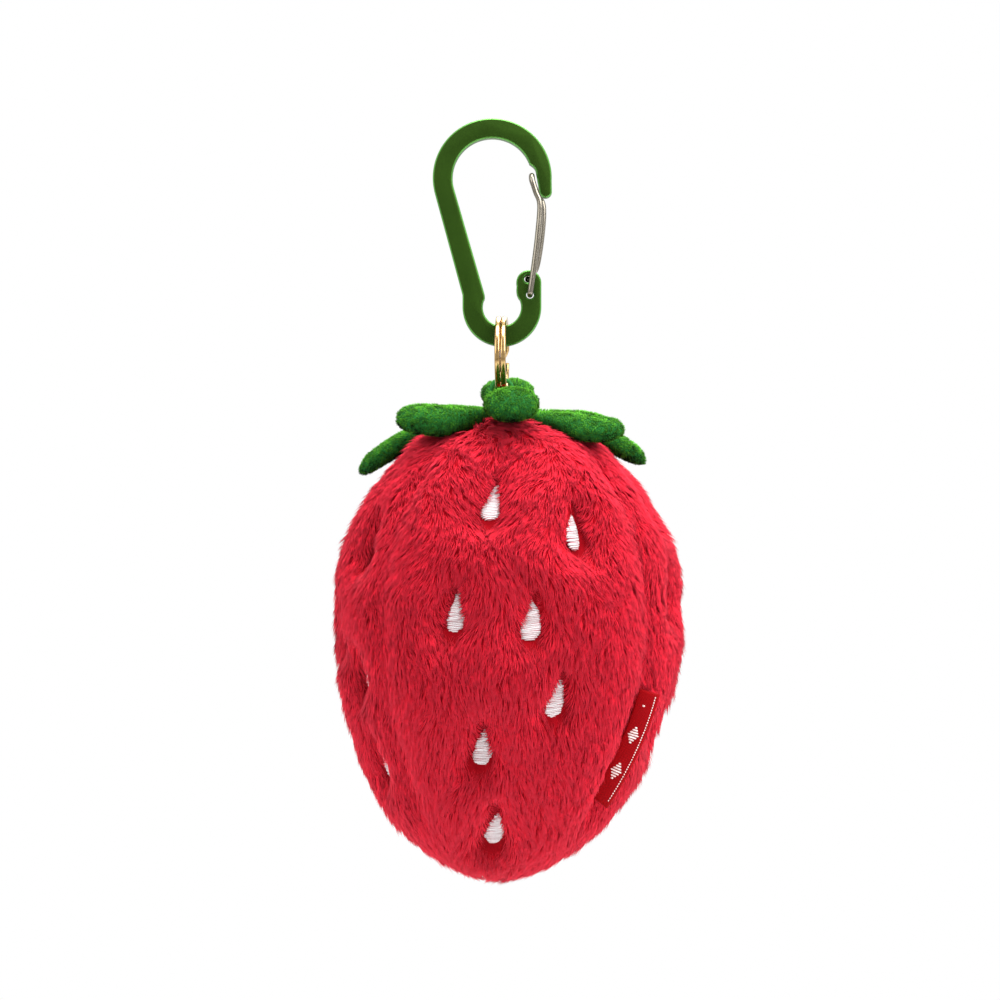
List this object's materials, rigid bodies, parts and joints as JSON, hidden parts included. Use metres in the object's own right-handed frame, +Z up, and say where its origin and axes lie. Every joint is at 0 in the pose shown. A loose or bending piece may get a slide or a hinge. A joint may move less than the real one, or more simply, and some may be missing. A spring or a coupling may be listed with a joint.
{
  "type": "plush keychain",
  "caption": "Strawberry plush with faux fur, green leaves and embroidered seeds, hung from a gold split ring on a small green carabiner with a wire gate.",
  "frame": {"origin": "inside top of the carabiner's bow, at mid thickness, straight above the lower eye: the place that rests on a hook or strap", "axes": "+Z up along the hanging object, -Y is the front with the front fur panel, +X to the viewer's right, where the gate is"},
  "size_m": [0.0718, 0.0676, 0.1557],
  "materials": {
    "anodised_green": "satin anodised, bright chamfers",
    "steel_wire": "bright drawn wire",
    "gold_plate": "polished gold plate",
    "green_plush": "short pile plush",
    "red_fur": "long pile faux fur",
    "white_thread": "satin stitch thread",
    "red_ribbon": "woven ribbon",
    "stuffing": "polyester fibre fill"
  },
  "bodies": {
    "carabiner": {"carabiner_body": "anodised_green"},
    "gate": {"wire_gate": "steel_wire"},
    "ring": {"split_ring": "gold_plate"},
    "plush": {"hanging_loop": "green_plush", "calyx_disc": "green_plush", "leaf_front_upper_ply": "green_plush", "leaf_front_lower_ply": "green_plush", "leaf_right_front_upper_ply": "green_plush", "leaf_right_front_lower_ply": "green_plush", "leaf_right_back_upper_ply": "green_plush", "leaf_right_back_lower_ply": "green_plush", "leaf_back_upper_ply": "green_plush", "leaf_back_lower_ply": "green_plush", "leaf_left_back_upper_ply": "green_plush", "leaf_left_back_lower_ply": "green_plush", "leaf_left_front_upper_ply": "green_plush", "leaf_left_front_lower_ply": "green_plush", "front_panel": "red_fur", "right_panel": "red_fur", "back_panel": "red_fur", "left_panel": "red_fur", "front_seed_1": "white_thread", "front_seed_2": "white_thread", "front_seed_3": "white_thread", "front_seed_4": "white_thread", "front_seed_5": "white_thread", "front_seed_6": "white_thread", "front_seed_7": "white_thread", "right_seed_1": "white_thread", "right_seed_2": "white_thread", "right_seed_3": "white_thread", "right_seed_4": "white_thread", "right_seed_5": "white_thread", "right_seed_6": "white_thread", "right_seed_7": "white_thread", "back_seed_1": "white_thread", "back_seed_2": "white_thread", "back_seed_3": "white_thread", "back_seed_4": "white_thread", "back_seed_5": "white_thread", "back_seed_6": "white_thread", "back_seed_7": "white_thread", "left_seed_1": "white_thread", "left_seed_2": "white_thread", "left_seed_3": "white_thread", "left_seed_4": "white_thread", "left_seed_5": "white_thread", "left_seed_6": "white_thread", "left_seed_7": "white_thread", "stuffing": "stuffing", "side_label": "red_ribbon"}
  },
  "joints": [
    {"name": "gate_pivot", "type": "hinge", "parent": "carabiner", "child": "gate", "pos_m": [0.0058, 0, -0.0321], "axis": [0, -1, 0], "range_deg": [0, 30], "stiffness_Nm_per_rad": 0.05, "springref_deg": -20.05},
    {"name": "ring_swing", "type": "hinge", "parent": "carabiner", "child": "ring", "pos_m": [0, 0, -0.04065], "axis": [1, 0, 0], "range_deg": [-60, 60]},
    {"name": "plush_swing", "type": "hinge", "parent": "ring", "child": "plush", "pos_m": [0, 0, -0.05175], "axis": [0, 1, 0], "range_deg": [-30, 30]}
  ]
}
